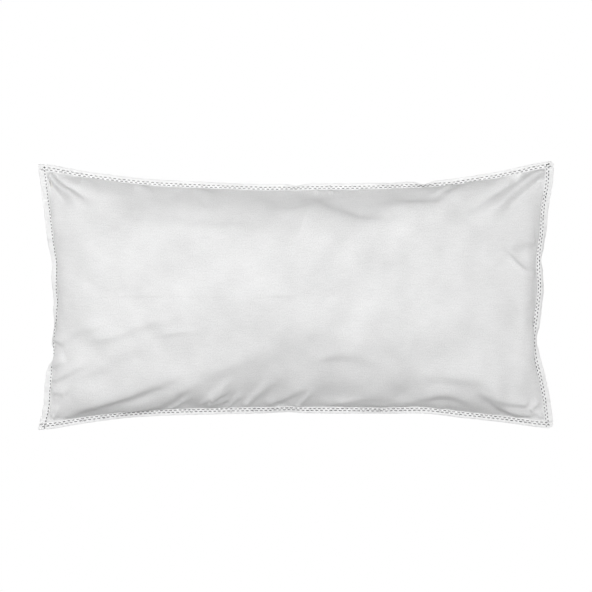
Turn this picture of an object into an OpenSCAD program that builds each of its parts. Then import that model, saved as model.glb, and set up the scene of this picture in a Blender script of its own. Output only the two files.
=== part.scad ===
// Bed pillow: two cambric panels sewn together along four bound edges over one body of
// feathers and down. The pillow lies flat and has settled under its own weight.
// Frame: X runs along the length, Y across the width, +Z up. The origin is the middle of
// the flat patch that the pillow rests on. All sizes are in millimetres.

/* [Filled outline] */
// Distance between the end seams, measured at the corners
seam_length = 742; // [600:1:900]
// Distance between the long seams, measured at the corners
seam_width = 381; // [340:1:450]
// How far each long seam draws in at its middle
long_bow = 29; // [15:1:40]
// How far each end seam draws in at its middle
end_bow = 19; // [10:1:25]

/* [Filled height] */
// Height of the pillow at its crown
height = 158; // [130:1:180]
// Height of the seam above the surface that the pillow rests on
seam_z = 68; // [55:1:75]
// How far the pillow's weight presses its underside flat
press = 1.2; // [1.1:0.05:1.5]

/* [Casing] */
// Thickness of the cambric
cloth_t = 0.4; // [0.3:0.05:0.5]
// Width of cambric sewn into the binding, outside the inner row of stitches
seam_allowance = 5.5; // [4:0.5:6]

/* [Edge binding] */
// Width of the binding outside the inner row of stitches
binding_outside = 8; // [7.5:0.5:9]
// Width of the binding inside the inner row of stitches
binding_inside = 2; // [1:0.5:3]
// Thickness of the binding tape
tape_t = 0.5; // [0.3:0.05:0.6]

/* [Stitching] */
// Thickness of the sewing thread
thread_d = 0.7; // [0.5:0.05:0.9]
// Distance between the two rows of stitches
row_gap = 3; // [2:0.5:4]
// Distance from the closing row on the left end to its outer edge
closing_row_inset = 8; // [5:0.5:9]

/* [Hidden] */

// Facets of a full circle of an edge's arc, of the tape's fold and round a thread
arc_fn = 1440;
fold_fn = 24;
thread_fn = 8;
// Columns and rows of the panels' grids
columns = 32;
rows = 20;
// How the dome falls off towards the ends and towards the long seams
end_power = 0.44;
side_power = 0.65;
// How strongly the grid closes up towards the seams, in degrees
grid_crowding = 80;
// Space between the fill and the cambric
fill_gap = 0.2;

half_length = seam_length / 2;
half_width = seam_width / 2;
crown = height - seam_z;
// Each seam is an arc. The radius of an arc whose half chord and bow are given
function arc_radius(half_chord, bow) = (pow(half_chord, 2) + pow(bow, 2)) / (2 * bow);
long_radius = arc_radius(half_length, long_bow);
end_radius = arc_radius(half_width, end_bow);
// Distance of an arc's centre from the pillow's own
long_centre = half_width - long_bow + long_radius;
end_centre = half_length - end_bow + end_radius;

// The outline `outwards` beyond the inner row of stitches, as a distance from the
// pillow's long axis and from its cross axis
function side_y(x, outwards) = long_centre - sqrt(pow(long_radius - outwards, 2) - pow(x, 2));
function end_x(y, outwards) = end_centre - sqrt(pow(end_radius - outwards, 2) - pow(y, 2));

// The outline's corner: the two arcs are followed to where they cross
function corner(outwards, x = 0, steps = 12) =
    steps == 0
        ? [x, side_y(x, outwards)]
        : corner(outwards, end_x(side_y(x, outwards), outwards), steps - 1);

// A point of the plan: u runs from end to end and v from side to side, each -1 to 1
function plan(u, v, outwards, at) =
    [u * end_x(v * at.y, outwards), v * side_y(u * at.x, outwards)];

// The height of the dome, 0 at the seams and 1 at the middle
function dome(u, v) =
    pow(max(0, 1 - u * u), end_power) * pow(max(0, 1 - v * v), side_power);
// How far the underside has gone down, 0 at the seams and 1 where it lies flat
function sag(u, v) = sin(90 * min(1, press * dome(u, v)));

// A grid line's place, -1 to 1
function grid_place(i, count) = sin(grid_crowding * (2 * i / count - 1)) / sin(grid_crowding);

// One curved sheet of grid points. The first and last lines of a rimmed sheet lie flat
// at the outer outline
function sheet(z_seam, rise, outwards, top, rim) =
    let (inner = corner(outwards), outer = corner(seam_allowance), edge = rim ? 1 : 0)
    [for (j = [-edge : rows + edge]) for (i = [-edge : columns + edge])
        let (
            u = grid_place(min(max(i, 0), columns), columns),
            v = grid_place(min(max(j, 0), rows), rows),
            on_rim = i < 0 || i > columns || j < 0 || j > rows,
            flat = on_rim ? plan(u, v, seam_allowance, outer) : plan(u, v, outwards, inner),
            lift = on_rim ? 0 : rise * (top ? dome(u, v) : sag(u, v))
        )
        [flat.x, flat.y, z_seam + lift]];

// The faces of a sheet of nx by ny cells whose first point is `start`
function sheet_faces(nx, ny, start, upwards) =
    [for (j = [0 : ny - 1]) for (i = [0 : nx - 1]) for (half = [0, 1])
        let (
            a = start + j * (nx + 1) + i,
            b = a + 1,
            c = b + nx + 1,
            d = a + nx + 1,
            face = half == 0 ? [a, b, c] : [a, c, d]
        )
        upwards ? [face[2], face[1], face[0]] : face];

// The points round a sheet's edge, in order
function edge_points(nx, ny, start) = concat(
    [for (i = [0 : nx - 1]) start + i],
    [for (j = [0 : ny - 1]) start + j * (nx + 1) + nx],
    [for (i = [nx : -1 : 1]) start + ny * (nx + 1) + i],
    [for (j = [ny : -1 : 1]) start + j * (nx + 1)]
);

// The narrow faces that close the edge between an upper and a lower sheet
function edge_faces(upper, lower) =
    [for (k = [0 : len(upper) - 1]) for (half = [0, 1])
        let (next = (k + 1) % len(upper))
        half == 0
            ? [upper[k], upper[next], lower[next]]
            : [upper[k], lower[next], lower[k]]];

// A closed skin between two sheets that have the same grid
module skin(upper, lower, nx, ny) {
    count = len(upper);
    polyhedron(
        points = concat(upper, lower),
        faces = concat(
            sheet_faces(nx, ny, 0, true),
            sheet_faces(nx, ny, count, false),
            edge_faces(edge_points(nx, ny, 0), edge_points(nx, ny, count))
        ),
        convexity = 6
    );
}

module panel(outside, inside, top) {
    if (top)
        skin(outside, inside, columns + 2, rows + 2);
    else
        skin(inside, outside, columns + 2, rows + 2);
}

// The upper cambric panel, crowned by the fill
module top_panel() {
    color("WhiteSmoke")
    panel(
        sheet(seam_z + cloth_t, crown - cloth_t, -binding_inside, true, true),
        sheet(seam_z, crown - cloth_t, -binding_inside - cloth_t, true, true),
        true
    );
}

// The lower cambric panel, pressed flat where the pillow rests
module bottom_panel() {
    depth = seam_z - cloth_t;
    color("WhiteSmoke")
    panel(
        sheet(seam_z - cloth_t, -depth, -binding_inside, false, true),
        sheet(seam_z, -depth, -binding_inside - cloth_t, false, true),
        false
    );
}

// The body of feathers and down that the panels hold
module feather_fill() {
    clearance = cloth_t + fill_gap;
    outwards = -binding_inside - clearance;
    color("OldLace")
    skin(
        sheet(seam_z + fill_gap / 2, crown - clearance, outwards, true, false),
        sheet(seam_z - fill_gap / 2, clearance - seam_z, outwards, false, false),
        columns,
        rows
    );
}

// The tape's cross-section, folded over the two cambric edges. It starts at the fold
module folded_tape() {
    fold_r = cloth_t + tape_t;
    arm = binding_outside + binding_inside - fold_r;
    for (side = [-cloth_t - tape_t, cloth_t])
        translate([fold_r, side])
            square([arm, tape_t]);
    difference() {
        translate([fold_r, 0])
            circle(r = fold_r, $fn = fold_fn);
        translate([fold_r, 0])
            circle(r = cloth_t, $fn = fold_fn);
        translate([fold_r, -fold_r])
            square(2 * fold_r);
    }
}

// Sweeps a cross-section along the arc of an edge, from corner to corner. The section's
// x is measured inwards from the pillow's outer edge
module along_arc(radius, centre, half_chord) {
    outer_radius = radius - binding_outside;
    half_angle = asin(half_chord / outer_radius) + 1;
    translate([0, centre, seam_z])
        rotate([0, 0, -90 - half_angle])
            rotate_extrude(angle = 2 * half_angle, $fn = arc_fn)
                translate([outer_radius, 0])
                    children();
}

module along_rear() {
    along_arc(long_radius, long_centre, half_length)
        children();
}

module along_left() {
    rotate([0, 0, 90])
        along_arc(end_radius, end_centre, half_width)
            children();
}

// Everything beyond an outline, as tall as the seam is. It is `outwards` of the inner row
module beyond_ends(outwards) {
    for (side = [-1, 1])
        translate([side * end_centre, 0, seam_z - 5])
            cylinder(r = end_radius - outwards, h = 10, $fn = arc_fn);
}

module beyond_sides(outwards) {
    for (side = [-1, 1])
        translate([0, side * long_centre, seam_z - 5])
            cylinder(r = long_radius - outwards, h = 10, $fn = arc_fn);
}

// A long edge's piece runs right out to both ends of the pillow
module rear_piece() {
    difference() {
        along_rear()
            children();
        beyond_ends(binding_outside);
    }
}

// An end's piece fits between the two long edges' bindings
module left_piece() {
    difference() {
        along_left()
            children();
        beyond_sides(-binding_inside);
    }
}

module front_piece() {
    mirror([0, 1, 0])
        rear_piece()
            children();
}

module right_piece() {
    mirror([1, 0, 0])
        left_piece()
            children();
}

// A thread's cross-section, on the upper or the lower face of the tape
module thread_section(inset, upper) {
    z = cloth_t + tape_t + thread_d / 2;
    translate([inset, upper ? z : -z])
        circle(d = thread_d, $fn = thread_fn);
}

inner_row = binding_outside;
outer_row = binding_outside - row_gap;

module rear_binding() { color("White") rear_piece() folded_tape(); }
module front_binding() { color("White") front_piece() folded_tape(); }
module right_binding() { color("White") right_piece() folded_tape(); }
module left_binding() { color("White") left_piece() folded_tape(); }

module rear_thread(inset, upper) {
    color("DimGray")
    rear_piece()
        thread_section(inset, upper);
}

module front_thread(inset, upper) {
    color("DimGray")
    front_piece()
        thread_section(inset, upper);
}

module right_thread(inset, upper) {
    color("DimGray")
    right_piece()
        thread_section(inset, upper);
}

module left_thread(inset, upper) {
    color("DimGray")
    left_piece()
        thread_section(inset, upper);
}

top_panel();
bottom_panel();
feather_fill();
rear_binding();
front_binding();
right_binding();
left_binding();
rear_thread(inner_row, true);  // rear_inner_needle_thread
rear_thread(outer_row, true);  // rear_outer_needle_thread
front_thread(inner_row, true);  // front_inner_needle_thread
front_thread(outer_row, true);  // front_outer_needle_thread
right_thread(inner_row, true);  // right_inner_needle_thread
right_thread(outer_row, true);  // right_outer_needle_thread
left_thread(closing_row_inset, true);  // left_closing_needle_thread
rear_thread(inner_row, false);  // rear_inner_bobbin_thread
rear_thread(outer_row, false);  // rear_outer_bobbin_thread
front_thread(inner_row, false);  // front_inner_bobbin_thread
front_thread(outer_row, false);  // front_outer_bobbin_thread
right_thread(inner_row, false);  // right_inner_bobbin_thread
right_thread(outer_row, false);  // right_outer_bobbin_thread
left_thread(closing_row_inset, false);  // left_closing_bobbin_thread
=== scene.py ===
"""A bed pillow: a cambric casing blown up by simulation inside its bound and stitched seam.

Metres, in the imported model's frame: X along the pillow, Y across it, +Z up. The camera looks
straight down, so the picture's up is +Y.
"""
import math

import bpy
import numpy as np
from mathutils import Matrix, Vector


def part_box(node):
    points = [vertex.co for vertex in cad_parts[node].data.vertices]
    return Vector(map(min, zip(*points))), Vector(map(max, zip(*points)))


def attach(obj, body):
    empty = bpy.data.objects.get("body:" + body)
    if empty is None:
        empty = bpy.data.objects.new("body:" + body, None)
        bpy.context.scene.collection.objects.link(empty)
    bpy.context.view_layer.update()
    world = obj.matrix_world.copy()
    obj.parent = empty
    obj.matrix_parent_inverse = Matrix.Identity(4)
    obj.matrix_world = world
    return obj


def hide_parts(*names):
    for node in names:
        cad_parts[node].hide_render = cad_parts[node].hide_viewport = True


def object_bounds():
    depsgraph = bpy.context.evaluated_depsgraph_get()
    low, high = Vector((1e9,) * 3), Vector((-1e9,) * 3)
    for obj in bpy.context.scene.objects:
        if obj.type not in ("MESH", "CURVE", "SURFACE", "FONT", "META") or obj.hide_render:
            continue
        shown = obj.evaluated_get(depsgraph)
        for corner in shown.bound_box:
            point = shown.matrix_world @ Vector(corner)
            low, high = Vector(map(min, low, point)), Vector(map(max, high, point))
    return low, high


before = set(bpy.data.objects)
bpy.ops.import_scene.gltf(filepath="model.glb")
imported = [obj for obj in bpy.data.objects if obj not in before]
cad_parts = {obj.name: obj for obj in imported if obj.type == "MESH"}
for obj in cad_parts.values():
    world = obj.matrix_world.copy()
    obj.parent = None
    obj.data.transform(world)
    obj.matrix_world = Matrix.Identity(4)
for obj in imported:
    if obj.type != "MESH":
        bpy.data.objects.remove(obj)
cad_low, cad_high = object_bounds()

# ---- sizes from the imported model
EDGES = ("rear", "front", "right", "left")
LONG_EDGES = EDGES[:2]
TAPE_LOW, TAPE_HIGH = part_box("rear_binding")
SEAM_Z = (TAPE_LOW.z + TAPE_HIGH.z) / 2
ROW_LOW, ROW_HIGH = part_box("rear_inner_needle_thread")
LONG_MID = ROW_LOW.y + (ROW_HIGH.z - ROW_LOW.z) / 2
END_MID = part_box("right_inner_needle_thread")[0].x
# The seam's corners lie this far inside the corners of the whole pillow
CORNER_INSET = 0.0100
CORNER_X = cad_high.x - CORNER_INSET
CORNER_Y = cad_high.y - CORNER_INSET

# ---- sizes of the sewing
# Thicknesses of tape and cloth, and half that of both panels between both leaves
TAPE_T = 0.0005
CLOTH_T = 0.00036
HALF_STACK = 0.0009
# How far the band reaches inside and outside its inner row of stitches
BAND_INSIDE = 0.0011
BAND_OUTSIDE = {"rear": 0.008, "front": 0.008, "right": 0.0105, "left": 0.009}
# How far each of the two rows of a panel's margin lies outside the inner row of stitches
INNER_MARGIN = 0.0015
SEAM_ALLOWANCE = 0.0055
THREAD_R = {"rear": 0.00045, "front": 0.00052, "right": 0.00055, "left": 0.00055}
ROW_GAP = {"rear": 0.003, "front": 0.0032, "right": 0.0032}
STITCH_PITCH = {"rear": 0.00695, "front": 0.00685, "right": 0.0055, "left": 0.0050}
STITCH_SHARE = {"rear": 0.64, "front": 0.68, "right": 0.48, "left": 0.50}

# ---- the cloth that is cut
# The panel's size between the tape's inner edges, before the pillow is filled
PATTERN_L = 0.771
PATTERN_W = 0.380
CELL = 0.006
COLUMNS = round(PATTERN_L / CELL)
ROWS = round(PATTERN_W / CELL)
# How often the blown cloth is smoothed, and how many parts its cells are then divided into
CALM_PASSES = 20
REFINE = 3
# The frames that the simulation runs, and the one by which the rim is drawn in
SIM_FRAMES = 22
DRAWN_IN_BY = 14
# The simulated cloth's kilograms a square metre: far more than cambric's, so it moves calmly
SIM_WEIGHT = 12.0
# How far the panels' middles lie off the seam at first, and in the shape key that draws them in
START_RISE = 0.0005
KEY_RISE = 0.02


def gauss(value, place, width):
    """A smooth hump, 1 at its place and near 0 beyond twice its width."""
    return np.exp(-(((value - place) / width) ** 2))


def smooth(value):
    """0 below 0, 1 above 1, and a smooth rise between."""
    value = np.clip(value, 0, 1)
    return value * value * (3 - 2 * value)


def waves(value, seed, lengths, heights):
    """A sum of sines with seeded phases: the same uneven wave each time."""
    phases = np.random.default_rng(seed).uniform(0, 2 * math.pi, len(lengths))
    total = np.zeros_like(value, dtype=float)
    for length, height, phase in zip(lengths, heights, phases):
        total = total + height * np.sin(2 * math.pi * value / length + phase)
    return total


# ---- the seam
# Each edge's inner row of stitches: how far it lies from the pillow's axis at its middle and at
# its two corners (the low side first), how far along it reaches, the powers that shape its bow on
# each side, and its dents as (place, depth, width)
SEAMS = {
    "rear": {
        "middle": LONG_MID - 0.0035,
        "corners": (CORNER_Y - 0.0014, CORNER_Y + 0.0036),
        "reach": (CORNER_X + 0.0004, CORNER_X),
        "dents": [(0.189, 0.0016, 0.012), (0.0, 0.0008, 0.012), (-0.05, 0.001, 0.04),
                  (0.225, 0.0014, 0.030)],
        "power": ((2, 4), (2.5, 4)),
    },
    "front": {
        "middle": LONG_MID + 0.0037,
        "corners": (CORNER_Y + 0.0010, CORNER_Y - 0.0014),
        "reach": (CORNER_X - 0.0010, CORNER_X - 0.0008),
        "dents": [(-0.01, 0.001, 0.015), (0.190, 0.0036, 0.045), (-0.25, 0.0014, 0.09)],
        "power": ((2, 4), (2, 4)),
    },
    "right": {
        "middle": END_MID + 0.0010,
        "corners": (CORNER_X - 0.0008, CORNER_X),
        "reach": (CORNER_Y - 0.0014, CORNER_Y + 0.0052),
        "dents": [(-0.078, 0.0078, 0.044), (0.010, -0.0044, 0.030), (0.092, -0.0016, 0.020),
                  (0.165, -0.002, 0.02)],
        "power": ((1.5, 1.5), (1.5, 1.5)),
    },
    "left": {
        "middle": END_MID + 0.0010,
        "corners": (CORNER_X - 0.0010, CORNER_X + 0.0012),
        "reach": (CORNER_Y + 0.0016, CORNER_Y - 0.0014),
        "dents": [(-0.160, 0.0016, 0.020), (0.048, 0.0026, 0.022), (-0.010, 0.0022, 0.012),
                  (-0.034, 0.0018, 0.010), (-0.087, 0.0020, 0.012), (-0.196, -0.0026, 0.012)],
        "power": ((1.5, 1.5), (1.5, 1.5)),
    },
}
# How steeply the band turns down beside the bulging body, as (place, degrees, width)
TILTS = {
    "rear": [(0.189, 50, 0.014), (0.0, 35, 0.012), (-0.09, 15, 0.02), (0.14, 20, 0.02)],
    "front": [(-0.02, 20, 0.03), (0.12, 15, 0.03), (-0.25, 10, 0.03)],
    "right": [(0.035, 48, 0.060), (0.054, 28, 0.008), (0.085, 16, 0.020), (-0.020, 14, 0.020),
              (-0.062, 66, 0.016), (-0.085, 20, 0.015)],
    "left": [(0.055, 20, 0.020), (0.005, 28, 0.025), (-0.050, 60, 0.030), (-0.090, 70, 0.016)],
}
RESTING_TILT = 10
STEEPEST_TILT = 80
# How near its corners the band lies level
FLAT_CORNER = 0.03
# How far out from the inner row each band begins to turn down
TURN_START = {"rear": -0.004, "front": -0.004, "right": 0.0034, "left": -0.004}
TURN_LENGTH = 0.003
TURN_STEPS = 6
# Near its corners the seam's bow eases off
BOW_END = 0.9
BOW_EASE = 0.1
# How far the pillow's corners hang below the rest of the seam
DROOP = 0.008
# How often two seams are followed in turn to find where they cross
CORNER_STEPS = 12
# How the seam's height wanders along X and along Y, as the lengths and heights of waves
WANDER_X = ((0.31, 0.17, 0.09), (0.0012, 0.0009, 0.0005))
WANDER_Y = ((0.23, 0.11, 0.06), (0.0012, 0.0009, 0.0005))


def seam_distance(edge, along):
    """How far the inner row lies from the pillow's axis, at places along an edge."""
    seam = SEAMS[edge]
    low_side = along < 0
    t = np.abs(along) / np.where(low_side, seam["reach"][0], seam["reach"][1])
    t = np.where(t > BOW_END, BOW_END + BOW_EASE * np.tanh((t - BOW_END) / BOW_EASE), t)
    low_rise, high_rise = (sum(t**power for power in side) / 2 for side in seam["power"])
    rise = np.where(low_side, low_rise, high_rise)
    corner = np.where(low_side, seam["corners"][0], seam["corners"][1])
    distance = seam["middle"] + (corner - seam["middle"]) * rise
    for place, depth, width in seam["dents"]:
        distance = distance - depth * gauss(along, place, width)
    return distance


def seam_height(x, y):
    """The seam's height: its corners droop, and its edges wave a little."""
    x = np.clip(x, -CORNER_X, CORNER_X)
    y = np.clip(y, -CORNER_Y, CORNER_Y)
    droop = DROOP * np.abs(x / CORNER_X) ** 4 * np.abs(y / CORNER_Y) ** 4
    return SEAM_Z - droop + (waves(x, 1, *WANDER_X) + waves(y, 2, *WANDER_Y))


def band_tilt(edge, along, out):
    """The band's downward slope at a distance beyond an edge's inner row, in radians."""
    angle = np.full_like(along, RESTING_TILT, dtype=float)
    turned = smooth((out - TURN_START[edge]) / TURN_LENGTH)
    for place, extra, width in TILTS[edge]:
        angle = angle + extra * gauss(along, place, width) * turned
    reach = min(SEAMS[edge]["reach"])
    flatten = smooth((reach - np.abs(along)) / FLAT_CORNER)
    return np.radians(np.minimum(angle, STEEPEST_TILT)) * flatten


def on_edge(edge, along, distance):
    """Plan positions beside an edge, at that distance from the pillow's axis."""
    off_axis = distance if edge in ("rear", "right") else -distance
    return np.stack([along, off_axis] if edge in LONG_EDGES else [off_axis, along], -1)


def band_point(edge, along, out, up):
    """Points of the curling band: out along it from the inner row, and up off its middle."""
    along, out, up = np.broadcast_arrays(along, out, up)
    across = down = np.zeros_like(out)
    for step in range(TURN_STEPS):
        tilt = band_tilt(edge, along, out * (step + 0.5) / TURN_STEPS)
        across = across + out / TURN_STEPS * np.cos(tilt)
        down = down + out / TURN_STEPS * np.sin(tilt)
    tilt = band_tilt(edge, along, out)
    seam = seam_distance(edge, along)
    plan = on_edge(edge, along, seam + across + up * np.sin(tilt))
    row = on_edge(edge, along, seam)
    height = seam_height(row[..., 0], row[..., 1]) - down + up * np.cos(tilt)
    return np.concatenate([plan, height[..., None]], -1)


def corner_point(end, long, end_out, long_out):
    """Where a line beside an end's seam meets a line beside a long seam, as (x, y)."""
    x_sign = 1 if end == "right" else -1
    y_sign = 1 if long == "rear" else -1
    x = x_sign * CORNER_X
    for _ in range(CORNER_STEPS):
        y = y_sign * (seam_distance(long, x) + long_out)
        x = x_sign * (seam_distance(end, y) + end_out)
    return x, y


def line_along(edge, out, end_outs, count):
    """Evenly spaced places along an edge, between two lines beside its neighbouring edges."""
    if edge in LONG_EDGES:
        first = corner_point("left", edge, end_outs[0], out)[0]
        last = corner_point("right", edge, end_outs[1], out)[0]
    else:
        first = corner_point(edge, "front", out, end_outs[0])[1]
        last = corner_point(edge, "rear", out, end_outs[1])[1]
    return np.linspace(first, last, count)


# ---- meshes
def new_object(name, data):
    """An object with that data, linked to the scene."""
    made = bpy.data.objects.new(name, data)
    bpy.context.scene.collection.objects.link(made)
    return made


def make_piece(name, points, faces, material):
    """A smoothly shaded mesh object from its points and faces."""
    mesh = bpy.data.meshes.new(name)
    mesh.from_pydata([tuple(p) for p in points], [], [tuple(map(int, f)) for f in faces])
    mesh.validate()
    mesh.update()
    mesh.polygons.foreach_set("use_smooth", [True] * len(mesh.polygons))
    mesh.materials.append(material)
    return new_object(name, mesh)


def make_ground(name, half, material):
    """A level square at the height that the pillow rests on."""
    corners = [(-half, -half, 0), (half, -half, 0), (half, half, 0), (-half, half, 0)]
    return make_piece(name, corners, [(0, 1, 2, 3)], material)


def numbered(grid):
    """A number for each point of a grid."""
    return np.arange(grid.shape[0] * grid.shape[1]).reshape(grid.shape[:2])


def grid_faces(numbers, flipped=False, closed=False):
    """The faces of a grid of point numbers; closed joins its last column to its first."""
    if closed:
        numbers = np.concatenate([numbers, numbers[:, :1]], 1)
    a, b = numbers[:-1, :-1], numbers[1:, :-1]
    c, d = numbers[1:, 1:], numbers[:-1, 1:]
    order = (a, d, c, b) if flipped else (a, b, c, d)
    return np.stack(order, -1).reshape(-1, 4)


def declare(piece, nodes):
    """Says a piece's body and hides the CAD nodes that it stands for."""
    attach(piece, "root")
    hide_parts(*nodes)


# ---- the casing's simulation
def pinned_line(edge, count):
    """The line beside an edge where the sewing holds the panels, as that many points."""
    inside = -BAND_INSIDE
    return band_point(edge, line_along(edge, inside, (inside, inside), count), inside, 0)


def outline_grid():
    """The pinned outline filled by a grid, (COLUMNS + 1, ROWS + 1, 3): a Coons patch."""
    rear, front = (pinned_line(edge, COLUMNS + 1) for edge in LONG_EDGES)
    right, left = (pinned_line(edge, ROWS + 1) for edge in EDGES[2:])
    s = np.linspace(0, 1, COLUMNS + 1)[:, None, None]
    t = np.linspace(0, 1, ROWS + 1)[None, :, None]
    patch = (1 - t) * front[:, None] + t * rear[:, None]
    patch = patch + (1 - s) * left[None] + s * right[None]
    patch = patch - (1 - s) * (1 - t) * front[0] - s * (1 - t) * front[-1]
    patch = patch - (1 - s) * t * rear[0] - s * t * rear[-1]
    return patch


def pattern_grid():
    """Each grid point's place on the flat panel, from -1 to 1 both ways."""
    u = np.linspace(-1, 1, COLUMNS + 1)
    v = np.linspace(-1, 1, ROWS + 1)
    return np.meshgrid(u, v, indexing="ij")


def doubled(top, bottom):
    """Two grids sewn along their rim: their points, faces and both grids' point numbers."""
    numbers = numbered(top)
    inner = np.zeros(top.shape[:2], bool)
    inner[1:-1, 1:-1] = True
    under = numbers.copy()
    under[inner] = numbers.size + np.arange(inner.sum())
    points = np.concatenate([top.reshape(-1, 3), bottom[inner]])
    faces = np.concatenate([grid_faces(numbers), grid_faces(under, flipped=True)])
    return points, faces, numbers, under


def simulate_casing(start, target, faces, rim):
    """Blows the flat casing up while its rim is drawn in to the seam; returns its points."""
    scene = bpy.context.scene
    casing = make_piece("casing_sim", start, faces, bpy.data.materials.new("sim"))
    casing.shape_key_add(name="flat")
    drawn_in = casing.shape_key_add(name="drawn_in")
    drawn_in.data.foreach_set("co", target.ravel())
    drawn_in.value = 0
    drawn_in.keyframe_insert("value", frame=1)
    drawn_in.value = 1
    drawn_in.keyframe_insert("value", frame=DRAWN_IN_BY)
    pin = casing.vertex_groups.new(name="pin")
    pin.add([int(i) for i in rim], 1.0, "REPLACE")

    cloth = casing.modifiers.new("cloth", "CLOTH")
    settings = cloth.settings
    settings.quality = 6
    settings.mass = SIM_WEIGHT * CELL**2
    settings.bending_stiffness = 0.05
    settings.vertex_group_mass = "pin"
    settings.use_pressure = True
    settings.uniform_pressure_force = 3
    cloth.collision_settings.distance_min = 0.002
    cloth.point_cache.frame_end = SIM_FRAMES

    ground = make_ground("ground_sim", 1.0, casing.active_material)
    ground.modifiers.new("collision", "COLLISION")
    ground.collision.thickness_outer = 0.001
    ground.collision.cloth_friction = 30

    scene.frame_start = 1
    scene.frame_end = SIM_FRAMES
    for number in range(1, SIM_FRAMES + 1):
        scene.frame_set(number)
    blown = casing.evaluated_get(bpy.context.evaluated_depsgraph_get())
    mesh = blown.to_mesh()
    points = np.zeros(len(mesh.vertices) * 3)
    mesh.vertices.foreach_get("co", points)
    blown.to_mesh_clear()
    bpy.data.objects.remove(casing)
    bpy.data.objects.remove(ground)
    scene.frame_set(1)
    return points.reshape(-1, 3)


def blown_casing():
    """The casing's top and bottom as grids of points, after the simulation."""
    u, v = pattern_grid()
    target = outline_grid()
    lift = ((1 - u**4) * (1 - v**4))[..., None] * [0, 0, 1]
    flat = np.stack([u * PATTERN_L / 2, v * PATTERN_W / 2, np.full_like(u, SEAM_Z)], -1)
    start, faces, top, bottom = doubled(flat + START_RISE * lift, flat - START_RISE * lift)
    drawn_in = doubled(target + KEY_RISE * lift, target - KEY_RISE * lift)[0]
    rim = top[top == bottom]
    points = simulate_casing(start, drawn_in, faces, rim)
    return points[top], points[bottom]


# ---- finer cloth
def refined_once(grid, times):
    """A grid with that many times the cells down its first axis, along smooth curves."""
    first = 2 * grid[:1] - grid[1:2]
    last = 2 * grid[-1:] - grid[-2:-1]
    padded = np.concatenate([first, grid, last])
    before, start, stop, after = padded[:-3], padded[1:-2], padded[2:-1], padded[3:]
    steps = []
    for step in range(times):
        t = step / times
        cubic = -before + 3 * start - 3 * stop + after
        square = 2 * before - 5 * start + 4 * stop - after
        line = stop - before
        steps.append(start + 0.5 * t * (line + t * (square + t * cubic)))
    fine = np.stack(steps, 1).reshape(-1, *grid.shape[1:])
    return np.concatenate([fine, grid[-1:]])


def refined(grid, times):
    """A grid with that many times the cells both ways."""
    fine = refined_once(grid, times)
    return refined_once(fine.swapaxes(0, 1), times).swapaxes(0, 1)


def unit(vectors):
    """The same directions with a length of 1."""
    return vectors / np.maximum(np.linalg.norm(vectors, axis=-1, keepdims=True), 1e-12)


def grid_normals(grid):
    """The unit normal at each point of a grid, upward on a level sheet."""
    return unit(np.cross(np.gradient(grid, axis=0), np.gradient(grid, axis=1)))


def calmed(grid, passes):
    """A grid with its finest wrinkles smoothed away and its rim left in place."""
    for _ in range(passes):
        inner = grid[1:-1, 1:-1]
        around = grid[:-2, 1:-1] + grid[2:, 1:-1] + grid[1:-1, :-2] + grid[1:-1, 2:]
        grid = grid.copy()
        grid[1:-1, 1:-1] = inner / 2 + around / 8
    return grid


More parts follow.
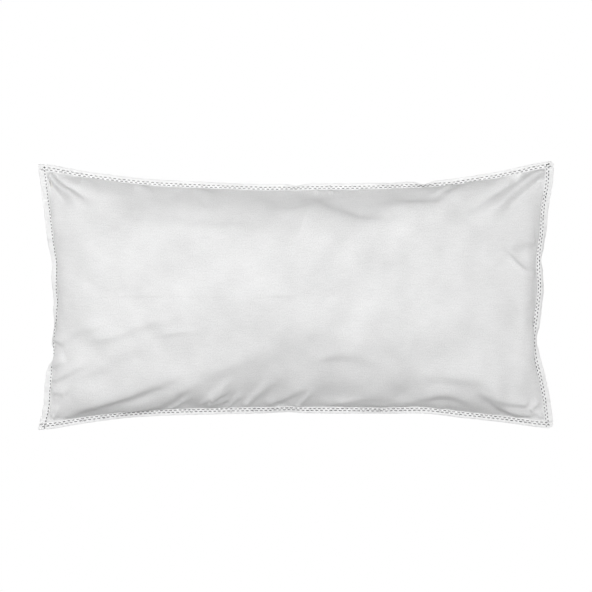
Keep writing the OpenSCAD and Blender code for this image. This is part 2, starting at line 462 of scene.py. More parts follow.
# ---- folds
# How the top panel folds, as (kind, height, half-width, the points of its spine as seen from
# above), all in millimetres. A ridge stands up along its spine and a valley sinks. At a lap or a
# crease the cloth on the left of the spine stands up and drops sharply across it, or on its right
# where the height is below 0. A crease raises more of the cloth behind it.
# These start at a seam or a corner and die away in the cloth
SEAM_FOLDS = [
    # rear left corner
    ("ridge", 8.4, 7.8, (-367, 183), (-359.5, 174), (-350, 163), (-337, 153.5), (-324, 142),
     (-306, 122)),
    ("valley", 4.4, 4.2, (-360, 181), (-346, 166.5), (-328, 156), (-312, 146.5), (-290, 136)),
    ("ridge", 2, 8, (-345, 176), (-322, 162), (-300, 152), (-250, 144)),
    ("valley", 5.8, 8, (-368, 176), (-359.5, 161), (-348, 145), (-334, 128)),
    # rear right corner
    ("valley", 7, 9.5, (338, 182), (315, 167), (282, 145.5), (249, 127), (200, 106)),
    ("ridge", 9, 7.4, (372, 188), (343, 170), (322, 155), (301, 136), (285, 121), (277, 107)),
    ("valley", 5.4, 6.5, (364, 177), (342, 156), (325, 139), (300, 110)),
    ("valley", 2.8, 3.2, (250, 168), (232, 157), (218, 147)),
    ("ridge", 2.8, 4.2, (232, 163), (212, 153), (196, 144)),
    # rear edge
    ("lap", -3, 2.8, (-150, 160), (-134, 155), (-114, 148)),
    ("lap", -2.4, 3, (-236, 165), (-222, 160), (-202, 150)),
    ("lap", -2.4, 3.4, (-318, 173), (-304, 166), (-286, 156)),
    ("ridge", 2.6, 3, (26, 160), (33, 148)),
    ("ridge", 2.6, 3, (47, 160), (56, 148)),
    # right edge
    ("lap", 3.8, 5, (354, 35), (340, 41), (326, 50), (312, 62)),
    ("lap", -3.4, 4.8, (354, 76), (338, 74), (312, 62)),
    # front right corner
    ("crease", -7.6, 3, (356, -180), (334, -176), (316, -171), (298, -162), (282, -150), (256, -137)),
    ("lap", -4.8, 3.6, (344, -161), (320, -157), (298, -152), (266, -140)),
    ("lap", 3.4, 1.8, (346, -170), (351, -164), (361, -160)),
    ("ridge", 2.4, 4, (366, -180), (354, -172), (342, -165)),
    # front left corner
    ("crease", 11.8, 5.4, (-358, -189), (-338, -179), (-318, -170), (-298, -161.5), (-258, -150),
     (-226, -138), (-170, -118), (-130, -106)),
    ("crease", 8.5, 4.4, (-270, -173), (-230, -167), (-200, -160), (-180, -149), (-166, -139),
     (-126, -126)),
    ("ridge", 2.6, 4, (-190, -167), (-168, -154), (-148, -139)),
    # front edge
    ("ridge", 2, 5, (-144, -160), (-121, -143), (-106, -131), (-86, -117)),
    ("lap", 4, 2.4, (-126, -155), (-110, -145), (-92, -137)),
    ("lap", 4, 2.4, (-132, -161), (-108, -156), (-90, -147)),
    ("ridge", 2.6, 4, (-104, -166), (-90, -152), (-76, -140)),
    ("ridge", 2.8, 6, (-78, -164), (-60, -146), (-48, -136), (-26, -117)),
    ("lap", 4.2, 3.8, (-44, -161), (-26, -155), (-12, -150), (4, -142), (26, -133)),
    ("ridge", 2.4, 3.4, (0, -166), (13, -150), (28, -136)),
    # left edge
    ("lap", 4.2, 3.2, (-358, -66), (-352, -68), (-340, -77)),
    ("lap", 4.8, 3.6, (-358, -108), (-350, -102), (-336, -96)),
    ("lap", 4, 3.6, (-359, -129), (-350, -124), (-338, -118), (-298, -97)),
    ("lap", 4.2, 3.6, (-358, -144), (-350, -144), (-338, -150)),
    ("lap", 3.4, 3.2, (-358, -182), (-350, -173), (-347, -158)),
]
# These lie out in the cloth and die away both ways
FREE_FOLDS = [
    # behind
    ("lap", 12, 7.8, (300, 174.5), (264, 168), (243, 159), (224, 147.5), (204, 134.5), (160, 130.5),
     (110, 130)),
    ("crease", 8.5, 7.4, (176, 114), (140, 107), (110, 108), (80, 113), (56, 120), (34, 131), (12, 139),
     (-40, 144)),
    ("lap", 2.4, 3.4, (34, 130), (8, 122), (-20, 122), (-44, 128)),
    ("lap", 2, 3.5, (-248, 107), (-266, 98), (-290, 85)),
    ("lap", -2.2, 5, (-150, 146), (-138, 134), (-124, 116)),
    ("lap", 4.4, 6.4, (-30, 96), (-70, 99), (-110, 102), (-150, 105), (-190, 112), (-230, 122)),
    ("lap", 3.8, 5, (215, 134), (180, 131), (150, 133), (110, 130)),
    ("lap", 1.8, 6, (40, 98), (10, 90), (-24, 96)),
    # right
    ("ridge", 3, 4.2, (350, 22), (330, 42), (312, 60), (286, 66)),
    ("lap", 1.8, 3, (334, 72), (316, 80), (292, 86)),
    ("ridge", 2.2, 7, (330, -4), (336, -30), (330, -60)),
    ("lap", 2, 5, (328, -100), (334, -80), (332, -50)),
    # left
    ("lap", 3, 5, (-352, -70), (-318, -56), (-290, -48), (-252, -36)),
    ("lap", 3.4, 5, (-320, -74), (-256, -60), (-226, -47), (-170, -34)),
    ("lap", 1.8, 3, (-215, -64), (-170, -57), (-130, -56)),
    ("crease", 2.8, 6.5, (-356, -131), (-304, -117), (-275, -104), (-246, -88), (-180, -70)),
    ("lap", 2.6, 7, (-330, 34), (-300, 22), (-276, 8), (-250, 10), (-206, 0)),
    # in front
    ("ridge", 2, 7, (-266, -163), (-228, -152), (-186, -136)),
    ("lap", 3, 7.5, (-150, -130), (-108, -112), (-82, -102), (-40, -97)),
    ("lap", 4.8, 7, (10, -104), (50, -93), (78, -92), (126, -104)),
    ("lap", 5.2, 8, (180, -116), (240, -124), (272, -130), (312, -146)),
    ("lap", 5.4, 4.2, (40, -163), (80, -154), (118, -150), (166, -157)),
    ("lap", 6.2, 4.6, (150, -160), (190, -151), (222, -148), (256, -159), (296, -172)),
]
# How far the raised cloth reaches behind a lap or a crease, in half-widths of its drop
LAP_REACH = 4
CREASE_REACH = 8
# The share of a fold's length in which it rises or dies away, and how much it widens on its way
FOLD_START = 0.12
CREASE_START = 0.30
FOLD_END = 0.42
FOLD_SPREAD = 0.8
# A fold changes nothing beyond this many times its furthest reach
NEAR_FOLD = 2.4
MM_PER_M = 1000
# About how many straight steps a fold's spine has
SPINE_STEPS = 48


def spine_curve(points):
    """A smooth curve through a fold's points, in metres."""
    times = math.ceil(SPINE_STEPS / (len(points) - 1))
    return refined_once(np.array(points) / MM_PER_M, times)


def nearest_on_spine(spine, plan):
    """For each plan position, its signed distance left of a spine and its share along it."""
    starts, steps = spine[:-1], np.diff(spine, axis=0)
    lengths = np.linalg.norm(steps, axis=1)
    before = np.concatenate([[0], np.cumsum(lengths)])
    best = np.full(len(plan), np.inf)
    left, share = np.zeros((2, len(plan)))
    for start, step, length, passed in zip(starts, steps, lengths, before):
        offset = plan - start
        t = np.clip(offset @ step / length**2, 0, 1)
        away = offset - t[:, None] * step
        distance = np.linalg.norm(away, axis=1)
        nearer = distance < best
        best[nearer] = distance[nearer]
        side = np.sign(step[0] * offset[:, 1] - step[1] * offset[:, 0])
        left[nearer] = (side * distance)[nearer]
        share[nearer] = ((passed + t * length) / before[-1])[nearer]
    return left, share


def fold_height(kind, left, width):
    """The height across a spine of a fold that is 1 high."""
    if kind in ("lap", "crease"):
        reach = (LAP_REACH if kind == "lap" else CREASE_REACH) * width
        return 0.5 * (1 + np.tanh(left / width)) * np.exp(-((left / reach) ** 2))
    hump = np.exp(-((left / width) ** 2))
    return hump if kind == "ridge" else -hump


def seen_place(points):
    """Where points appear from the camera, on the level of the seam."""
    nearer = (CAMERA_HEIGHT - SEAM_Z) / (CAMERA_HEIGHT - points[..., 2:])
    return points[..., :2] * nearer


def add_fold(total, plan, fold, start):
    """Adds one fold's height at plan positions; start is the share of it that rises."""
    kind, height, width, *points = fold
    height, width = height / MM_PER_M, width / MM_PER_M
    spine = spine_curve(points)
    reach = width * CREASE_REACH * NEAR_FOLD
    near = ((plan > spine.min(0) - reach) & (plan < spine.max(0) + reach)).all(1)
    left, share = nearest_on_spine(spine, plan[near])
    fade = smooth(share / start) * smooth((1 - share) / FOLD_END)
    spread = width * (1 + FOLD_SPREAD * (share - 0.5))
    if height < 0:
        left, height = -left, -height
    total[near] += height * fade * fold_height(kind, left, spread)


def folds_on(plan):
    """The height that all the folds together add at plan positions."""
    flat = plan.reshape(-1, 2)
    total = np.zeros(len(flat))
    for fold in SEAM_FOLDS:
        add_fold(total, flat, fold, CREASE_START if fold[0] == "crease" else FOLD_START)
    for fold in FREE_FOLDS:
        add_fold(total, flat, fold, FOLD_END)
    return total.reshape(plan.shape[:-1])


# ---- gathers and lumps
# The gathers along a seam, as the lengths and heights of waves, and how far they reach from it
FINE = ((0.0074, 0.0112, 0.0163), (0.00024, 0.00028, 0.00030))
FINE_REACH = 0.007
WIDE = ((0.027, 0.041, 0.066), (0.0005, 0.0007, 0.0008))
WIDE_REACH = 0.022
# The same for the shares by which the gathers and the rolls vary along it
PATCHES = ((0.19, 0.083), (0.24, 0.16))
ROLL_PATCHES = ((0.21, 0.12, 0.05), (0.175, 0.14, 0.105))
# How far from a seam the lumps, and everything but the blown shape, come in
LUMP_FADE = 0.05
SEAM_FADE = 0.006
# The gathers below, as a share of those on top
BELOW = 0.8
# How the cloth swells or sinks beside each seam, as (place along it and half-length, distance
# from it and half-width, height)
ROLLS = {
    "rear": [(0.03, 0.26, 0.080, 0.042, 0.0090), (0.07, 0.11, 0.115, 0.035, 0.0070)],
    "front": [(0.12, 0.22, 0.060, 0.032, 0.0060), (-0.20, 0.08, 0.045, 0.028, 0.0045),
              (-0.02, 0.035, 0.115, 0.055, -0.0045), (-0.20, 0.09, 0.115, 0.055, -0.0040),
              (0.13, 0.12, 0.014, 0.010, 0.0024)],
    "right": [(0.00, 0.12, 0.040, 0.024, 0.0034), (0.060, 0.018, 0.042, 0.024, -0.0080)],
    "left": [(0.03, 0.13, 0.088, 0.040, 0.0105), (0.03, 0.13, 0.026, 0.018, -0.0036)],
}


def gathers(edge, along, away):
    """The height that the rolls and the sewing's gathers add beside a seam."""
    seed = 11 + EDGES.index(edge)
    fine = waves(along, seed, *FINE)
    wide = waves(along + 0.6 * away, seed + 10, *WIDE)
    patchy = 0.6 + waves(along, seed + 20, *PATCHES)
    uneven = 1 + waves(along + 0.5 * away, seed + 30, *ROLL_PATCHES)
    rolls = np.zeros_like(away)
    for place, reach, distance, width, height in ROLLS[edge]:
        rolls = rolls + height * gauss(along, place, reach) * gauss(away, distance, width)
    near = fine * np.exp(-away / FINE_REACH) + wide * np.exp(-away / WIDE_REACH)
    return rolls * uneven + patchy * near


# The casing's unevenness away from the seams: its lattice's points a side, and (size, height)
LATTICE = 80
LUMPS = [(0.090, 0.0026), (0.050, 0.0018), (0.028, 0.00105), (0.015, 0.00044)]


def cloud(plan, seed, size):
    """Soft unevenness, between -1 and 1: heights on a square lattice, joined smoothly."""
    lattice = np.random.default_rng(seed).uniform(-1, 1, (LATTICE, LATTICE))
    turn = np.array([[math.cos(seed), -math.sin(seed)], [math.sin(seed), math.cos(seed)]])
    place = plan @ turn / size + LATTICE // 2
    cell = np.floor(place).astype(int)
    column, row = cell[..., 0], cell[..., 1]
    s, t = np.moveaxis(smooth(place - cell), -1, 0)
    near = lattice[column, row] * (1 - s) + lattice[column + 1, row] * s
    far = lattice[column, row + 1] * (1 - s) + lattice[column + 1, row + 1] * s
    return near * (1 - t) + far * t


def lumps(plan, seed):
    """The soft unevenness of feathers under the cloth."""
    total = np.zeros(plan.shape[:-1])
    for step, (size, height) in enumerate(LUMPS):
        total = total + height * cloud(plan, seed + 7 * step, size)
    return total


def off_the_floor(grid):
    """A bottom grid with what would reach below the floor resting on it."""
    lifted = grid.copy()
    lifted[..., 2] = np.maximum(grid[..., 2], CLOTH_T + 0.0001)
    return lifted


def detailed(grid, pattern, side):
    """A blown grid made finer, with folds, lumps and gathers; side is 1 on top, -1 below."""
    fine = refined(grid, REFINE)
    pattern = refined(pattern, REFINE)
    plan = fine[..., :2]
    to_long = (1 - np.abs(pattern[..., 1])) * PATTERN_W / 2
    to_end = (1 - np.abs(pattern[..., 0])) * PATTERN_L / 2
    away = np.minimum(to_long, to_end)
    rise = lumps(plan, 5 + side) * smooth(away / LUMP_FADE)
    if side > 0:
        rise = rise + folds_on(seen_place(fine))
    x, y = plan[..., 0], plan[..., 1]
    rear, front = gathers("rear", x, to_long), gathers("front", x, to_long)
    right, left = gathers("right", y, to_end), gathers("left", y, to_end)
    beside = np.where(pattern[..., 1] > 0, rear, front) + np.where(pattern[..., 0] > 0, right, left)
    rise = rise + beside * (1 if side > 0 else BELOW)
    rise = rise * smooth(away / SEAM_FADE)
    fine = fine + rise[..., None] * grid_normals(fine)
    return (fine if side > 0 else off_the_floor(fine)), pattern


# ---- the panels
def with_margins(grid, pattern, side):
    """A panel's grid with its seam allowance added, as two more rows all round."""
    up = side * CLOTH_T
    columns, rows = grid.shape[:2]
    wide = np.zeros((columns + 4, rows + 4, 3))
    wide[2:-2, 2:-2] = grid
    flat = np.zeros((columns + 4, rows + 4, 2))
    flat[2:-2, 2:-2] = pattern * [PATTERN_L / 2, PATTERN_W / 2]
    margins = [(1, -2, INNER_MARGIN), (0, -1, SEAM_ALLOWANCE)]
    for low, high, out in margins:
        wide[2:-2, low] = band_point("front", grid[:, 0, 0], out, up)
        wide[2:-2, high] = band_point("rear", grid[:, -1, 0], out, up)
        wide[low, 2:-2] = band_point("left", grid[0, :, 1], out, up)
        wide[high, 2:-2] = band_point("right", grid[-1, :, 1], out, up)
        reach = out + BAND_INSIDE
        flat[2:-2, low] = flat[2:-2, 2] - [0, reach]
        flat[2:-2, high] = flat[2:-2, -3] + [0, reach]
        flat[low, 2:-2] = flat[2, 2:-2] - [reach, 0]
        flat[high, 2:-2] = flat[-3, 2:-2] + [reach, 0]
    ends = [(i, "left", out) for i, _, out in margins] + [(i, "right", out) for _, i, out in margins]
    longs = [(j, "front", out) for j, _, out in margins] + [(j, "rear", out) for _, j, out in margins]
    for i, end, end_out in ends:
        for j, long, long_out in longs:
            x, y = corner_point(end, long, end_out, long_out)
            wide[i, j] = (x, y, seam_height(x, y) + up)
            flat[i, j] = (flat[i, 3, 0], flat[3, j, 1])
    return wide, flat


def make_panel(name, grid, pattern, side, material):
    """One of the casing's two panels, as cloth of its real thickness."""
    grid = grid.copy()
    rim = np.ones(grid.shape[:2], bool)
    rim[1:-1, 1:-1] = False
    grid[rim] += [0, 0, side * CLOTH_T]
    wide, flat = with_margins(grid, pattern, side)
    faces = grid_faces(numbered(wide), flipped=side < 0)
    panel = make_piece(name, wide.reshape(-1, 3), faces, material)
    store_pattern(panel, flat.reshape(-1, 2))
    solid = panel.modifiers.new("thickness", "SOLIDIFY")
    solid.thickness = CLOTH_T
    solid.offset = -1
    return panel


def store_pattern(piece, flat):
    """Keeps each point's place on the flat cloth, which the weave follows."""
    kept = piece.data.attributes.new("flat", "FLOAT_VECTOR", "POINT")
    kept.data.foreach_set("vector", np.column_stack([flat, np.zeros(len(flat))]).ravel())


# How far the fill keeps inside the blown cloth's faces, and inside its rim
FILL_SHRINK = 0.0075
FILL_INSET = 0.004


def make_fill(top, bottom, material):
    """The feathers and down: what the casing holds, a little inside it and lumpy."""
    u, v = pattern_grid()
    edge = smooth((1 - np.maximum(np.abs(u), np.abs(v))) / 0.05)[..., None]
    inward = np.stack([-u * FILL_INSET, -v * FILL_INSET, np.zeros_like(u)], -1)
    upper = top - grid_normals(top) * FILL_SHRINK * edge + inward
    lower = bottom + grid_normals(bottom) * FILL_SHRINK * edge + inward
    dips = np.abs(lumps(upper[..., :2], 31)[..., None] * edge) / 2
    upper = upper - dips * [0, 0, 1]
    lower = lower + dips * [0, 0, 1]
    points, faces, _, _ = doubled(upper, lower)
    return make_piece("feather_fill_body", points, faces, material)


# ---- the bindings
# Spacing of the tape's sections, and points across its leaves and round its fold
BAND_STEP = 0.0012
LEAF_STEPS = 13
FOLD_STEPS = 5
# Each row of stitches presses a groove this wide; it is pinched at the stitches, puffed between
ROW_WIDTH = 0.0011
PRESSED = 0.00022
PUFFED = 0.00020
# The long tapes' rounded corners at their left and right ends, and over what length they round
CORNER_ROUND = (0.0015, 0.0085)
ROUND_LENGTH = 0.012
# The tape's ripples as the lengths and heights of waves, and how far from its inner edge they
# take to grow
RIPPLE = ((0.0105, 0.0170, 0.031), (0.00016, 0.00022, 0.00022))
RIPPLE_START = 0.004
# How much of the outer face's unevenness the tape's lining follows
LINING_FOLLOWS = 0.9
# The tapes' inner edges bow between stitches and wander a little
SCALLOP = 0.00035
EDGE_WANDER = ((0.023,), (0.0003,))
# How far inside the long seams the end tapes stop
END_TAPE_STOP = BAND_INSIDE + 0.0002


def band_surface(edge, along, out):
    """How far the tape stands off its resting height: pinched at stitches, puffed between."""
    turn = 2 * math.pi * along / STITCH_PITCH[edge]
    puff = gauss(out, 0.0, ROW_WIDTH) * (PUFFED * np.cos(turn) - PRESSED)
    if edge in ROW_GAP:
        outer_row = gauss(out, ROW_GAP[edge], ROW_WIDTH)
        puff = puff - outer_row * (PUFFED * np.cos(turn) + PRESSED)
    seed = 41 + EDGES.index(edge)
    return puff + waves(along, seed, *RIPPLE) * smooth((out + BAND_INSIDE) / RIPPLE_START)


def tape_profile(edge, radius):
    """A line round the folded tape's section, as (out, up, face): face is 1 on top, -1 below."""
    outside = BAND_OUTSIDE[edge] - HALF_STACK
    flat = np.linspace(-BAND_INSIDE, outside, LEAF_STEPS)
    turns = np.linspace(math.pi / 2, -math.pi / 2, FOLD_STEPS + 2)[1:-1]
    fold = [(outside + radius * math.cos(a), radius * math.sin(a), math.sin(a)) for a in turns]
    over = [(out, radius, 1.0) for out in flat]
    under = [(out, -radius, -1.0) for out in flat[::-1]]
    return np.array(over + fold + under)


def tape_line(edge, point, follow, count):
    """One line along an edge's tape, through a point (out, up, face) of its profile."""
    out, up, face = point
    if edge in LONG_EDGES:
        end_outs = (BAND_OUTSIDE["left"], BAND_OUTSIDE["right"])
        along = rounded_end(edge, line_along(edge, out, end_outs, count), out)
    else:
        along = line_along(edge, out, (-END_TAPE_STOP, -END_TAPE_STOP), count)
    scallop = 0.0
    if abs(out + BAND_INSIDE) < 1e-6:
        turn = 2 * math.pi * along / STITCH_PITCH[edge]
        scallop = -SCALLOP * np.cos(turn) + waves(along, 51, *EDGE_WANDER)
    lift = band_surface(edge, along, np.array(out)) * face * follow
    return band_point(edge, along, out + scallop, up + lift)


def end_caps(row, turned):
    """The faces that close a tape's end, between its outer points and its lining's."""
    half = len(row) // 2
    caps = [(row[k], row[k + 1], row[2 * half - 2 - k], row[2 * half - 1 - k])
            for k in range(half - 1)]
    return [cap[::-1] for cap in caps] if turned else caps


def make_binding(edge, material):
    """A tape folded over one edge, as a closed shell of its real thickness."""
    outer = tape_profile(edge, HALF_STACK)
    lining = tape_profile(edge, HALF_STACK - TAPE_T)
    length = 2 * (CORNER_X if edge in LONG_EDGES else CORNER_Y)
    count = round(length / BAND_STEP)
    lines = [tape_line(edge, point, 1.0, count) for point in outer]
    lines += [tape_line(edge, point, LINING_FOLLOWS, count) for point in lining[::-1]]
    section = np.stack(lines, 1)
    numbers = numbered(section)
    faces = list(grid_faces(numbers, closed=True, flipped=edge in ("rear", "left")))
    faces += end_caps(numbers[0], False) + end_caps(numbers[-1], True)
    binding = make_piece(edge + "_binding_tape", section.reshape(-1, 3), faces, material)
    across = np.concatenate([outer[:, 0], lining[::-1, 0]])
    along = np.linspace(0, length, count)
    flat = np.stack(np.broadcast_arrays(along[:, None], across[None]), -1)
    store_pattern(binding, flat.reshape(-1, 2))
    return binding


def rounded_end(edge, along, out):
    """Draws a long tape's ends in to round the pillow's corners."""
    drawn = along.copy()
    beyond = BAND_OUTSIDE[edge]
    for radius, end in zip(CORNER_ROUND, (0, -1)):
        depth = max(out - (beyond - radius), 0)
        cut = radius - math.sqrt(max(radius**2 - depth**2, 0))
        share = smooth(1 - np.abs(along - along[end]) / ROUND_LENGTH)
        drawn = drawn + (cut if end == 0 else -cut) * share
    return drawn


# ---- the stitches
STITCH_SIDES = 6
STITCH_RINGS = 7
# How far inside the pillow's edges each row of stitches ends
ROW_STOP = {"left": 0.001, "right": 0.002, "front": 0.001, "rear": 0.001}
# Seeded unevenness of the stitches: along the row, across it, and in their lengths
UNEVEN_ALONG = 0.00020
UNEVEN_ACROSS = 0.00018
LENGTH_RANGE = (0.90, 1.06)
# How far a stitch's middle stands off the tape, in its radii, and how deep its ends dip
THREAD_RISE = 0.45
THREAD_DIP = 0.0010


def stitch_points(edge, place, out, length, side):
    """One stitch's centre line: it rises from its hole, lies on the tape and dips again."""
    share = np.linspace(-1, 1, STITCH_RINGS)
    along = place + share * length / 2
    rest = HALF_STACK + band_surface(edge, along, np.array(out)) + THREAD_R[edge] * THREAD_RISE
    up = rest - THREAD_DIP * np.abs(share) ** 6
    return band_point(edge, along, out, side * up)


def tube_along(points, radius):
    """Rings of a round thread along points, narrowed at both ends."""
    forward = unit(np.gradient(points, axis=0))
    across = unit(np.cross(forward, [0, 0, 1]))
    over = np.cross(across, forward)
    angles = (np.arange(STITCH_SIDES) * 2 * math.pi / STITCH_SIDES)[:, None]
    share = np.linspace(-1, 1, len(points))
    size = radius * (1 - 0.55 * np.abs(share) ** 8)
    ring = np.cos(angles) * across[:, None] + np.sin(angles) * over[:, None]
    return points[:, None] + ring * size[:, None, None]


def make_row(name, edge, out, side, shift, material):
    """A row of stitches along an edge, out to the pillow's edges."""
    pitch = STITCH_PITCH[edge]
    beside = ("left", "right") if edge in LONG_EDGES else ("front", "rear")
    ends = [BAND_OUTSIDE[other] - ROW_STOP[other] for other in beside]
    start, stop = line_along(edge, out, ends, 2)
    dash = STITCH_SHARE[edge]
    first = math.ceil(start / pitch - shift + dash / 2)
    last = math.floor(stop / pitch - shift - dash / 2)
    rng = np.random.default_rng(len(name) + round(shift * 10) + side)
    points, faces = [], []
    for number in range(first, last + 1):
        place = (number + shift) * pitch + rng.uniform(-UNEVEN_ALONG, UNEVEN_ALONG)
        length = pitch * dash * rng.uniform(*LENGTH_RANGE)
        sway = rng.uniform(-UNEVEN_ACROSS, UNEVEN_ACROSS)
        line = stitch_points(edge, place, out + sway, length, side)
        rings = tube_along(line, THREAD_R[edge])
        numbers = len(points) + numbered(rings)
        points.extend(rings.reshape(-1, 3))
        faces.extend(grid_faces(numbers, closed=True, flipped=True))
        faces += [numbers[0], numbers[-1][::-1]]
    return make_piece(name, points, faces, material)


def make_stitches(material):
    """Every row of stitches: needle thread on top and bobbin thread below."""
    rows = [(edge, "inner", 0.0, 0.0) for edge in ROW_GAP]
    rows += [(edge, "outer", gap, 0.5) for edge, gap in ROW_GAP.items()]
    rows.append(("left", "closing", 0.0, 0.0))
    for edge, row, out, shift in rows:
        for thread, side in (("needle", 1), ("bobbin", -1)):
            name = f"{edge}_{row}_{thread}"
            move = shift if side > 0 else shift + 0.5
            stitches = make_row(name + "_stitches", edge, out, side, move, material)
            declare(stitches, [name + "_thread"])


# ---- materials
def set_inputs(made, values):
    """Sets a node's inputs by their names."""
    for name, value in values.items():
        made.inputs[name].default_value = value


def new_material(name, colour, roughness, sheen):
    """A material with plain values; returns it, its nodes and its shader."""
    material = bpy.data.materials.new(name)
    material.use_nodes = True
    shader = material.node_tree.nodes["Principled BSDF"]
    set_inputs(shader, {"Base Color": (*colour, 1), "Roughness": roughness})
    set_inputs(shader, {"Sheen Weight": sheen, "Sheen Roughness": 0.5, "Specular IOR Level": 0.35})
    return material, material.node_tree, shader


def flat_place(tree):
    """A place on the flat cloth, in metres."""
    made = tree.nodes.new("ShaderNodeAttribute")
    made.attribute_name = "flat"
    return made.outputs["Vector"]


def noise(tree, place, scale, detail=2.0, stretch=(1, 1, 1)):
    """Noise at a place, from 0 to 1, stretched along the threads if asked."""
    mapping = tree.nodes.new("ShaderNodeMapping")
    set_inputs(mapping, {"Scale": stretch})
    tree.links.new(place, mapping.inputs["Vector"])
    made = tree.nodes.new("ShaderNodeTexNoise")
    set_inputs(made, {"Scale": scale, "Detail": detail})
    tree.links.new(mapping.outputs["Vector"], made.inputs["Vector"])
    return made.outputs["Fac"]


def arithmetic(tree, operation, first, second=0.0):
    """The sum, product or other combination of two sockets or numbers."""
    made = tree.nodes.new("ShaderNodeMath")
    made.operation = operation
    for value, socket in zip((first, second), made.inputs):
        if isinstance(value, (int, float)):
            socket.default_value = value
        else:
            tree.links.new(value, socket)
    return made.outputs["Value"]


def weave(tree, place, threads_per_metre):
    """A plain weave's height: two crossing sets of round threads."""
    split = tree.nodes.new("ShaderNodeSeparateXYZ")
    tree.links.new(place, split.inputs["Vector"])
    threads = []
    for axis in ("X", "Y"):
        turn = arithmetic(tree, "MULTIPLY", split.outputs[axis], threads_per_metre * math.pi)
        threads.append(arithmetic(tree, "ABSOLUTE", arithmetic(tree, "SINE", turn)))
    return arithmetic(tree, "MAXIMUM", *threads)


def colour_by(tree, shader, factor, low, high):
    """Lets a shader's colour vary between two colours with a factor."""
    ramp = tree.nodes.new("ShaderNodeValToRGB")
    for element, position, colour in zip(ramp.color_ramp.elements, (0.3, 0.7), (low, high)):
        element.position = position
        element.color = (*colour, 1)
    tree.links.new(factor, ramp.inputs["Fac"])
    tree.links.new(ramp.outputs["Color"], shader.inputs["Base Color"])


def bump(tree, shader, layers):
    """Bumps one over the other, as (height, strength, distance), into a shader's normal."""
    before = None
    for height, strength, distance in layers:
        made = tree.nodes.new("ShaderNodeBump")
        set_inputs(made, {"Strength": strength, "Distance": distance})
        tree.links.new(height, made.inputs["Height"])
        if before is not None:
            tree.links.new(before.outputs["Normal"], made.inputs["Normal"])
        before = made
    tree.links.new(before.outputs["Normal"], shader.inputs["Normal"])


def cambric_material():
    """Down-proof cambric: fine white cotton with slubs, mottled lighter and darker in broad soft
    patches.
    """
    material, tree, shader = new_material("cambric", (0.86, 0.86, 0.86), 0.62, 0.12)
    place = flat_place(tree)
    # The cloth's colour varies lighter and darker at random in broad soft patches
    mottle = noise(tree, place, 15.0, 5.0)
    slubs = noise(tree, place, 420.0, 2.0, (0.12, 1, 1))
    grain = noise(tree, place, 620.0, 1.0)
    tone = arithmetic(tree, "MULTIPLY", mottle, 0.38)
    tone = arithmetic(tree, "ADD", tone, arithmetic(tree, "MULTIPLY", slubs, 0.14))
    tone = arithmetic(tree, "ADD", tone, arithmetic(tree, "MULTIPLY", grain, 0.48))
    colour_by(tree, shader, tone, (0.73, 0.73, 0.73), (0.98, 0.98, 0.98))
    uneven = arithmetic(tree, "MULTIPLY", noise(tree, place, 90.0), 0.12)
    tree.links.new(arithmetic(tree, "ADD", uneven, 0.54), shader.inputs["Roughness"])
    bump(tree, shader, [
        (noise(tree, place, 60.0, 3.0), 0.25, 0.0010),
        (noise(tree, place, 300.0, 2.0, (1, 0.25, 1)), 0.18, 0.0003),
        (weave(tree, place, 3600.0), 0.35, 0.00010),
    ])
    return material


def tape_material():
    """Binding tape: whiter and coarser cotton than the casing, ribbed across its width."""
    material, tree, shader = new_material("binding_tape", (0.94, 0.94, 0.94), 0.7, 0.08)
    place = flat_place(tree)
    tone = noise(tree, place, 160.0, 3.0)
    colour_by(tree, shader, tone, (0.92, 0.92, 0.92), (0.97, 0.97, 0.97))
    bump(tree, shader, [
        (noise(tree, place, 500.0), 0.2, 0.0003),
        (weave(tree, place, 1700.0), 0.5, 0.00018),
    ])
    return material


def thread_material():
    """Sewing thread: near black, twisted and slightly glossy."""
    material, tree, shader = new_material("sewing_thread", (0.03, 0.03, 0.032), 0.5, 0.3)
    place = tree.nodes.new("ShaderNodeTexCoord").outputs["Object"]
    twist = noise(tree, place, 2600.0)
    colour_by(tree, shader, twist, (0.022, 0.022, 0.024), (0.045, 0.045, 0.048))
    bump(tree, shader, [(twist, 0.4, 0.00015)])
    return material


def feather_material():
    """Feathers and down: warm off-white and matted."""
    material, tree, shader = new_material("feathers_and_down", (0.80, 0.78, 0.74), 0.95, 0.4)
    place = tree.nodes.new("ShaderNodeTexCoord").outputs["Object"]
    tufts = noise(tree, place, 90.0, 5.0, (1, 0.4, 1))
    colour_by(tree, shader, tufts, (0.70, 0.67, 0.62), (0.88, 0.87, 0.84))
    bump(tree, shader, [(tufts, 0.8, 0.003)])
    return material


# ---- the studio
CAMERA_HEIGHT = 3.0
# How much of the seam's level the camera sees, from side to side
SEEN_WIDTH = 0.8732
SENSOR = 36.0
FLOOR_SIZE = 12.0


def seen_white(tree, shader_socket, output_socket):
    """What the camera sees of the studio is white; what lights the pillow is dimmer."""
    white = tree.nodes.new("ShaderNodeEmission")
    set_inputs(white, {"Strength": 1.0})
    mix = tree.nodes.new("ShaderNodeMixShader")
    path = tree.nodes.new("ShaderNodeLightPath")
    tree.links.new(path.outputs["Is Camera Ray"], mix.inputs["Fac"])
    tree.links.new(shader_socket, mix.inputs[1])
    tree.links.new(white.outputs["Emission"], mix.inputs[2])
    tree.links.new(mix.outputs["Shader"], output_socket)


def make_camera():
    """A camera straight above the pillow's middle."""
    data = bpy.data.cameras.new("camera")
    data.sensor_width = SENSOR
    data.lens = SENSOR * (CAMERA_HEIGHT - SEAM_Z) / SEEN_WIDTH
    camera = new_object("camera", data)
    camera.location = (0, 0, CAMERA_HEIGHT)
    bpy.context.scene.camera = camera


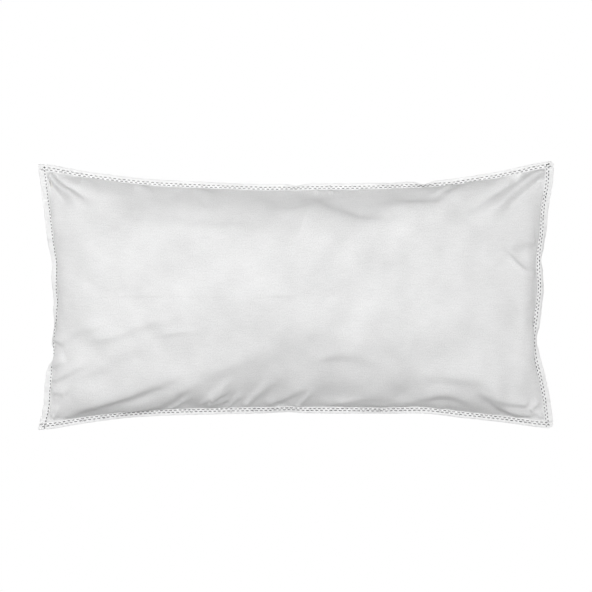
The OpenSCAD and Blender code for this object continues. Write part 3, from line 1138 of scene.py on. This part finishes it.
def make_light(name, place, size, power):
    """A soft square light aimed at the pillow."""
    data = bpy.data.lights.new(name, "AREA")
    data.size = size
    data.energy = power
    light = new_object(name, data)
    light.location = place
    aim = Vector((0, 0, SEAM_Z)) - Vector(place)
    light.rotation_euler = aim.to_track_quat("-Z", "Y").to_euler()


def make_studio():
    """A pale floor and room, a broad light overhead and a fainter one beyond each end."""
    material = bpy.data.materials.new("pale_floor")
    material.use_nodes = True
    tree = material.node_tree
    shader = tree.nodes["Principled BSDF"]
    set_inputs(shader, {"Base Color": (0.8, 0.8, 0.8, 1), "Roughness": 0.9})
    output = tree.nodes["Material Output"].inputs["Surface"]
    seen_white(tree, shader.outputs["BSDF"], output)
    floor = make_ground("studio_floor", FLOOR_SIZE / 2, material)

    world = bpy.data.worlds.new("pale_room")
    bpy.context.scene.world = world
    world.use_nodes = True
    background = world.node_tree.nodes["Background"]
    set_inputs(background, {"Color": (1, 1, 1, 1), "Strength": 0.10})
    output = world.node_tree.nodes["World Output"].inputs["Surface"]
    seen_white(world.node_tree, background.outputs["Background"], output)

    make_light("overhead", (-0.1, 0.4, 3.4), 1.6, 66.5)
    make_light("left", (-2.0, 0.3, 1.6), 1.2, 17.5)
    make_light("right", (2.0, 0.1, 1.6), 1.2, 14)
    bpy.context.scene.view_settings.view_transform = "Standard"


# ---- the pillow
def make_pillow():
    """Every piece of the pillow, in place and declared."""
    cambric = cambric_material()
    tape = tape_material()
    top, bottom = (calmed(grid, CALM_PASSES) for grid in blown_casing())
    pattern = np.stack(pattern_grid(), -1)

    fill = make_fill(top, bottom, feather_material())
    declare(fill, ["feather_fill"])

    top_grid, fine_pattern = detailed(top, pattern, 1)
    bottom_grid, _ = detailed(bottom, pattern, -1)
    top_panel = make_panel("top_panel_cambric", top_grid, fine_pattern, 1, cambric)
    bottom_panel = make_panel("bottom_panel_cambric", bottom_grid, fine_pattern, -1, cambric)
    declare(top_panel, ["top_panel"])
    declare(bottom_panel, ["bottom_panel"])

    bindings = {edge: make_binding(edge, tape) for edge in EDGES}
    for edge, binding in bindings.items():
        declare(binding, [edge + "_binding"])
    make_stitches(thread_material())


make_studio()
make_camera()
make_pillow()
